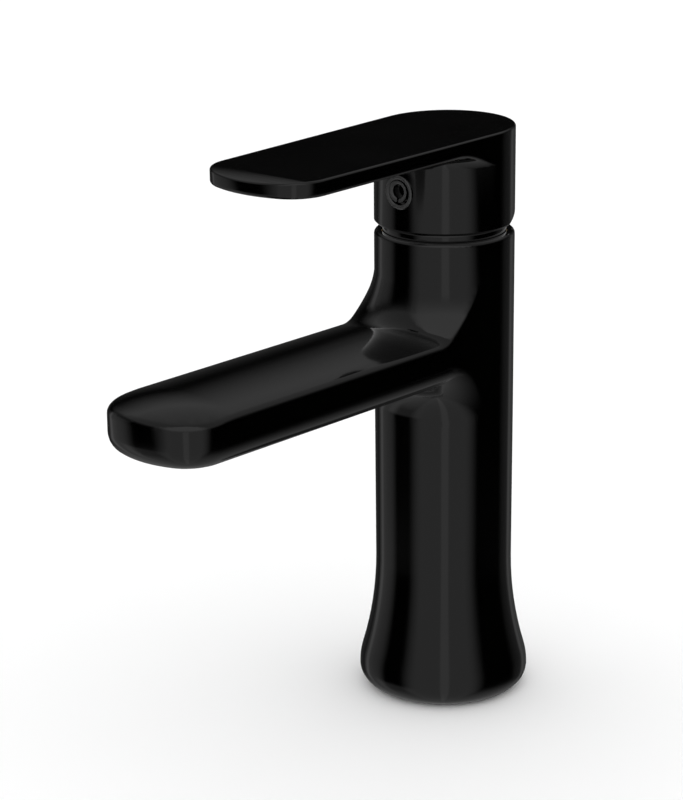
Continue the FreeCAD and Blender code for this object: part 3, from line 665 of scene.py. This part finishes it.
def turned_piece(name, steps):
    """A piece turned about Z: a disc, extruded and resized through pairs of radius and height."""
    sides = 96
    radius, height = steps[0]
    bpy.ops.object.select_all(action="DESELECT")
    bpy.ops.mesh.primitive_circle_add(
        vertices=sides, radius=radius * MM, fill_type="NGON", location=(0.0, 0.0, height * MM))
    piece = bpy.context.active_object
    piece.name = name
    bpy.ops.object.transform_apply()
    bpy.ops.object.mode_set(mode="EDIT")
    bpy.ops.mesh.select_all(action="SELECT")
    for next_radius, next_height in steps[1:]:
        rise = (0.0, 0.0, (next_height - height) * MM)
        bpy.ops.mesh.extrude_region_move(TRANSFORM_OT_translate={"value": rise})
        grow = next_radius / radius
        bpy.ops.transform.resize(value=(grow, grow, 1.0))
        radius, height = next_radius, next_height
    bpy.ops.mesh.select_all(action="SELECT")
    bpy.ops.mesh.normals_make_consistent(inside=False)
    bpy.ops.mesh.select_all(action="DESELECT")
    bpy.ops.object.mode_set(mode="OBJECT")
    return piece


# Radius and height in millimetres of the button's dish, with its plug behind, and of the eye in the dish
PLUG_LENGTH = 2.9
BUTTON_DISH = (
    (3.8, -PLUG_LENGTH), (3.8, 0.0), (5.0, 0.0), (5.0, 1.9), (4.9, 2.15), (4.6, 2.3), (4.3, 2.25),
    (3.9, 1.95), (3.75, 1.8), (3.7, 0.2))
BUTTON_EYE = (
    (3.2, 0.1), (3.3, 1.9), (3.25, 2.1), (3.1, 2.2), (2.7, 2.1), (2.3, 1.9), (2.1, 1.7), (2.0, 0.3))

# The notch in the lower side of the eye's lip, and the heights below which eye and dish are painted black:
# painted shade in the button's recesses
NOTCH_HALF_WIDTH = 0.4 * MM
NOTCH_TOP = -1.9 * MM
NOTCH_DEPTH = 0.8 * MM
EYE_LIP = 1.75 * MM
DISH_SHADE_FLOOR = 1.0 * MM
DISH_SHARP_ANGLE = math.radians(50.0)


class MIXER_OT_button(bpy.types.Operator):
    """Model the round indicator button on the front of the lever's skirt"""

    bl_idname = "mixer.button"
    bl_label = "Indicator Button"

    def execute(self, context):
        detail = context.scene.mixer_detail
        dish = turned_piece("indicator_button", BUTTON_DISH)
        eye = turned_piece("button_eye", BUTTON_EYE)
        for face in eye.data.polygons:
            at = face.center
            face.select = abs(at.x) < NOTCH_HALF_WIDTH and at.y < NOTCH_TOP and at.z > EYE_LIP
        select_only(eye)
        bpy.ops.object.mode_set(mode="EDIT")
        bpy.ops.mesh.extrude_region_move(TRANSFORM_OT_translate={"value": (0.0, 0.0, -NOTCH_DEPTH)})
        bpy.ops.object.mode_set(mode="OBJECT")
        for piece in (eye, dish):
            piece.data.materials.append(finish_of(satin_abs))
            piece.data.materials.append(finish_of(black_plated_metal))
        # The eye's walls below its lip and its centre take the black finish: painted shade in the eye's
        # hollow and its notch
        for face in eye.data.polygons:
            face.material_index = int(face.center.z < EYE_LIP)
        move_to(eye, Matrix.Translation((-detail.eye_side, detail.eye_rise, 0.0)))
        # The dish's upright walls and its floor take the black finish: a painted shadow in the gap round
        # the button and painted shade in the dish
        for face in dish.data.polygons:
            upright = abs(face.normal.z) < 0.1
            face.material_index = int(upright or abs(face.center.z) < DISH_SHADE_FLOOR)
        dish.select_set(True)
        context.view_layer.objects.active = dish
        bpy.ops.object.join()
        bpy.ops.object.shade_smooth_by_angle(angle=DISH_SHARP_ANGLE)
        low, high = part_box("indicator_plug")
        seat = Vector((0.0, high.y - PLUG_LENGTH * MM, (low.z + high.z) / 2.0))
        move_to(dish, Matrix.Translation(seat) @ Matrix.Rotation(RIGHT_ANGLE, 4, "X"))
        dress(dish, "indicator_plug")
        return {"FINISHED"}


class MIXER_OT_rings(bpy.types.Operator):
    """Dress the cover ring under the lever and the aerator's ring under the spout"""

    bl_idname = "mixer.rings"
    bl_label = "Cover Ring and Aerator Ring"

    def execute(self, context):
        edge = context.scene.mixer_detail.metal_edge
        rounded_copies((
            ("cover_ring", "cover_collar", black_plated_metal, edge, 3),
            ("aerator_housing", "aerator_ring", black_plated_metal, edge, 3),
        ))
        return {"FINISHED"}


class MIXER_OT_aerator(bpy.types.Operator):
    """Dress the moulded cells inside the aerator"""

    bl_idname = "mixer.aerator"
    bl_label = "Aerator Cells"

    def execute(self, context):
        edge = context.scene.mixer_detail.cell_edge
        rounded_copies((
            ("outlet_grid", "outlet_honeycomb", grey_acetal, edge, 1),
            ("aerator_core", "jet_cup", white_acetal, edge, 1),
            ("inlet_sieve", "sieve_honeycomb", white_acetal, edge, 1),
        ))
        return {"FINISHED"}


class MIXER_OT_seals(bpy.types.Operator):
    """Dress the rubber seals as rounded rings"""

    bl_idname = "mixer.seals"
    bl_label = "Seals"

    def execute(self, context):
        edge = context.scene.mixer_detail.seal_edge
        rounded_copies((
            ("base_seal", "base_ring", nitrile_rubber, edge, 4),
            ("port_seals", "port_rings", nitrile_rubber, edge, 4),
            ("disc_seals", "disc_rings", nitrile_rubber, edge, 4),
            ("rotor_seal", "rotor_ring", nitrile_rubber, edge, 4),
            ("aerator_washer", "aerator_ring_washer", nitrile_rubber, edge, 4),
        ))
        return {"FINISHED"}


class MIXER_OT_cartridge(bpy.types.Operator):
    """Dress the cartridge's moulded pieces and its ceramic discs"""

    bl_idname = "mixer.cartridge"
    bl_label = "Cartridge"

    def execute(self, context):
        edge = context.scene.mixer_detail.moulded_edge
        rounded_copies((
            ("cartridge_housing", "cartridge_shell", white_acetal, edge, 2),
            ("cartridge_base", "port_plate", white_acetal, edge, 2),
            ("rotor", "stem_guide", white_acetal, edge, 2),
            ("disc_carrier", "disc_holder", white_acetal, edge, 2),
            ("fixed_disc", "lower_disc", lapped_alumina, edge, 2),
            ("moving_disc", "upper_disc", lapped_alumina, edge, 2),
        ))
        return {"FINISHED"}


class MIXER_OT_metalwork(bpy.types.Operator):
    """Dress the cartridge nut, the stem, its pin and the set screw"""

    bl_idname = "mixer.metalwork"
    bl_label = "Nut, Stem, Pin and Screw"

    def execute(self, context):
        edge = context.scene.mixer_detail.metal_edge
        rounded_copies((
            ("cartridge_nut", "clamp_nut", turned_brass, edge, 2),
            ("lever_stem", "stem", turned_brass, edge, 2),
            ("pivot_pin", "stem_pin", bright_steel, edge, 3),
            ("set_screw", "grub_screw", bright_steel, edge, 2),
        ))
        return {"FINISHED"}


# Soft boxes around the mixer as its gloss mirrors them: the angle to the right of the camera, half the
# width and the soft edge in degrees, the height where each fades out as the sine of its elevation, the
# fade and the brightness
SOFT_BOXES = (
    (-1.0, 34.0, 28.0, 1.5, 0.3, 0.48),
    (2.0, 5.0, 2.0, 0.45, 0.3, 0.22),
    (-113.0, 8.0, 21.0, 0.45, 0.3, 0.27),
    (-127.0, 1.5, 4.0, 0.45, 0.3, 0.13),
    (-75.0, 20.0, 20.0, -0.32, 0.12, 0.22),
    (135.0, 12.0, 20.0, 0.45, 0.3, 0.07),
    (141.0, 2.0, 5.0, 0.45, 0.3, 0.11),
    (180.0, 30.0, 25.0, 0.33, 0.5, 0.045),
)

# Sines of the elevations over which the light of the ceiling, the floor and a second mirroring changes
CEILING_RAMP = (0.2, 0.6)
FLOOR_RAMP = (-0.3, -0.95)
INNER_RAMP = (-0.1, 0.3)

# The spout's gloss shows no lever above it, so gloss mirrors neither the lever nor what lies under it
LEFT_OUT_OF_GLOSS = (
    "lever_shell", "grub_screw", "stem", "stem_pin", "stem_guide", "clamp_nut", "cartridge_shell")


def studio_world(stage):
    """White all round for the eye; for what gloss mirrors, soft boxes, a lit ceiling and a pale floor."""
    world = bpy.data.worlds.new("studio")
    bpy.context.scene.world = world
    world.use_nodes = True
    world.cycles.sampling_method = "NONE"
    tree = world.node_tree
    tree.nodes.clear()
    way = add_node(tree, "ShaderNodeTexCoord").outputs["Generated"]
    level = add_node(tree, "ShaderNodeVectorMath", {0: way, 1: (1.0, 1.0, 0.0)}, operation="MULTIPLY")
    bearing = add_node(tree, "ShaderNodeVectorMath", {0: level.outputs["Vector"]}, operation="NORMALIZE")
    height = add_node(tree, "ShaderNodeSeparateXYZ", {"Vector": way}).outputs["Z"]
    rise = add_node(tree, "ShaderNodeMapRange", {
        "Value": height, "From Min": CEILING_RAMP[0], "From Max": CEILING_RAMP[1]})
    curve = add_node(tree, "ShaderNodeMath", {0: rise.outputs["Result"], 1: 2.0}, operation="POWER")
    mirrored = add_node(tree, "ShaderNodeMath", {
        0: curve.outputs["Value"], 1: stage.ceiling_glow}, operation="MULTIPLY")
    for turn, half, soft, top, fade, brightness in SOFT_BOXES:
        side = stage.azimuth + math.radians(turn)
        facing = add_node(tree, "ShaderNodeVectorMath", {
            0: bearing.outputs["Vector"], 1: (math.sin(side), -math.cos(side), 0.0)},
            operation="DOT_PRODUCT")
        across = add_node(tree, "ShaderNodeMapRange", {
            "Value": facing.outputs["Value"], "From Min": math.cos(math.radians(half + soft)),
            "From Max": math.cos(math.radians(half)), "To Max": brightness},
            interpolation_type="SMOOTHSTEP")
        upright = add_node(tree, "ShaderNodeMapRange", {
            "Value": height, "From Min": top, "From Max": top - fade}, interpolation_type="SMOOTHSTEP")
        mirrored = add_node(tree, "ShaderNodeMath", {
            0: across.outputs["Result"], 1: upright.outputs["Result"], 2: mirrored.outputs["Value"]},
            operation="MULTIPLY_ADD")
    ground = add_node(tree, "ShaderNodeMapRange", {
        "Value": height, "From Min": FLOOR_RAMP[0], "From Max": FLOOR_RAMP[1], "To Max": stage.floor_glow},
        interpolation_type="SMOOTHSTEP")
    mirrored = add_node(tree, "ShaderNodeMath", {
        0: mirrored.outputs["Value"], 1: ground.outputs["Result"]}, operation="MAXIMUM")
    rays = add_node(tree, "ShaderNodeLightPath").outputs
    inner = add_node(tree, "ShaderNodeMapRange", {
        "Value": height, "From Min": INNER_RAMP[0], "From Max": INNER_RAMP[1],
        "To Min": stage.throat_glow, "To Max": stage.inner_glow}, interpolation_type="SMOOTHSTEP")
    again = add_node(tree, "ShaderNodeMapRange", {
        "Value": rays["Glossy Depth"], "From Min": 1.0, "From Max": 2.0})
    gloss = add_node(tree, "ShaderNodeMix", {
        "Factor": again.outputs["Result"], "A": mirrored.outputs["Value"], "B": inner.outputs["Result"]})
    room = add_node(tree, "ShaderNodeMapRange", {
        "Value": rays["Is Diffuse Ray"], "To Min": 1.0, "To Max": stage.fill})
    seen = add_node(tree, "ShaderNodeMix", {
        "Factor": rays["Is Glossy Ray"], "A": room.outputs["Result"], "B": gloss.outputs["Result"]})
    light = add_node(tree, "ShaderNodeBackground", {
        "Color": (1.0, 1.0, 1.0, 1.0), "Strength": seen.outputs["Result"]})
    add_node(tree, "ShaderNodeOutputWorld", {"Surface": light.outputs["Background"]})


def studio_camera(stage):
    """The camera at the photograph's viewing angle and focal length."""
    view = bpy.data.cameras.new("studio_camera")
    view.sensor_fit = "VERTICAL"
    view.lens = stage.focal_pixels / PHOTO_HEIGHT * view.sensor_height
    camera = bpy.data.objects.new("studio_camera", view)
    bpy.context.scene.collection.objects.link(camera)
    flat = stage.distance * math.cos(stage.elevation)
    stand = Vector((
        flat * math.sin(stage.azimuth),
        -flat * math.cos(stage.azimuth),
        stage.aim_height + stage.distance * math.sin(stage.elevation)))
    heading = Matrix.Rotation(stage.azimuth + stage.pan, 4, "Z")
    nod = Matrix.Rotation(RIGHT_ANGLE - stage.elevation + stage.tilt, 4, "X")
    lean = Matrix.Rotation(stage.roll, 4, "Z")
    camera.matrix_world = Matrix.Translation(stand) @ heading @ nod @ lean
    bpy.context.scene.camera = camera


class MIXER_OT_stage(bpy.types.Operator):
    """Set up the pale floor, the soft studio light and the camera"""

    bl_idname = "mixer.stage"
    bl_label = "Stage"

    def execute(self, context):
        stage = context.scene.mixer_stage
        bpy.ops.object.select_all(action="DESELECT")
        bpy.ops.mesh.primitive_plane_add(size=stage.floor_size, location=(0.0, 0.0, 0.0))
        floor = context.active_object
        floor.name = "floor"
        material, tree = new_material("pale_floor")
        shader = add_node(tree, "ShaderNodeBsdfPrincipled", {
            "Base Color": linear(stage.floor_colour), "Roughness": 0.9})
        add_node(tree, "ShaderNodeOutputMaterial", {"Surface": shader.outputs["BSDF"]})
        floor.data.materials.append(material)
        floor.visible_glossy = False
        for name in LEFT_OUT_OF_GLOSS:
            bpy.data.objects[name].visible_glossy = False
        studio_world(stage)
        studio_camera(stage)
        context.scene.view_settings.view_transform = "Standard"
        return {"FINISHED"}


class MIXER_PT_sidebar(bpy.types.Panel):
    """The steps that dress the mixer"""

    bl_label = "Basin Mixer"
    bl_space_type = "VIEW_3D"
    bl_region_type = "UI"
    bl_category = "Mixer"

    def draw(self, context):
        for operator in operators:
            self.layout.operator(operator.bl_idname)


operators = (
    MIXER_OT_body,
    MIXER_OT_lever,
    MIXER_OT_button,
    MIXER_OT_rings,
    MIXER_OT_aerator,
    MIXER_OT_seals,
    MIXER_OT_cartridge,
    MIXER_OT_metalwork,
    MIXER_OT_stage,
)
groups = {"mixer_stage": MixerStage, "mixer_finish": MixerFinish, "mixer_detail": MixerDetail}
classes = (*groups.values(), *operators, MIXER_PT_sidebar)


def register():
    """Adds the classes, and the property groups to the scene."""
    for kind in classes:
        bpy.utils.register_class(kind)
    for name, group in groups.items():
        setattr(bpy.types.Scene, name, bpy.props.PointerProperty(type=group))


def unregister():
    """Takes away what register added."""
    for name in groups:
        delattr(bpy.types.Scene, name)
    for kind in reversed(classes):
        bpy.utils.unregister_class(kind)


def main():
    """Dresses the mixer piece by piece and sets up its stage."""
    register()
    bpy.ops.mixer.body()
    bpy.ops.mixer.lever()
    bpy.ops.mixer.button()
    bpy.ops.mixer.rings()
    bpy.ops.mixer.aerator()
    bpy.ops.mixer.seals()
    bpy.ops.mixer.cartridge()
    bpy.ops.mixer.metalwork()
    bpy.ops.mixer.stage()


if __name__ == "__main__":
    main()
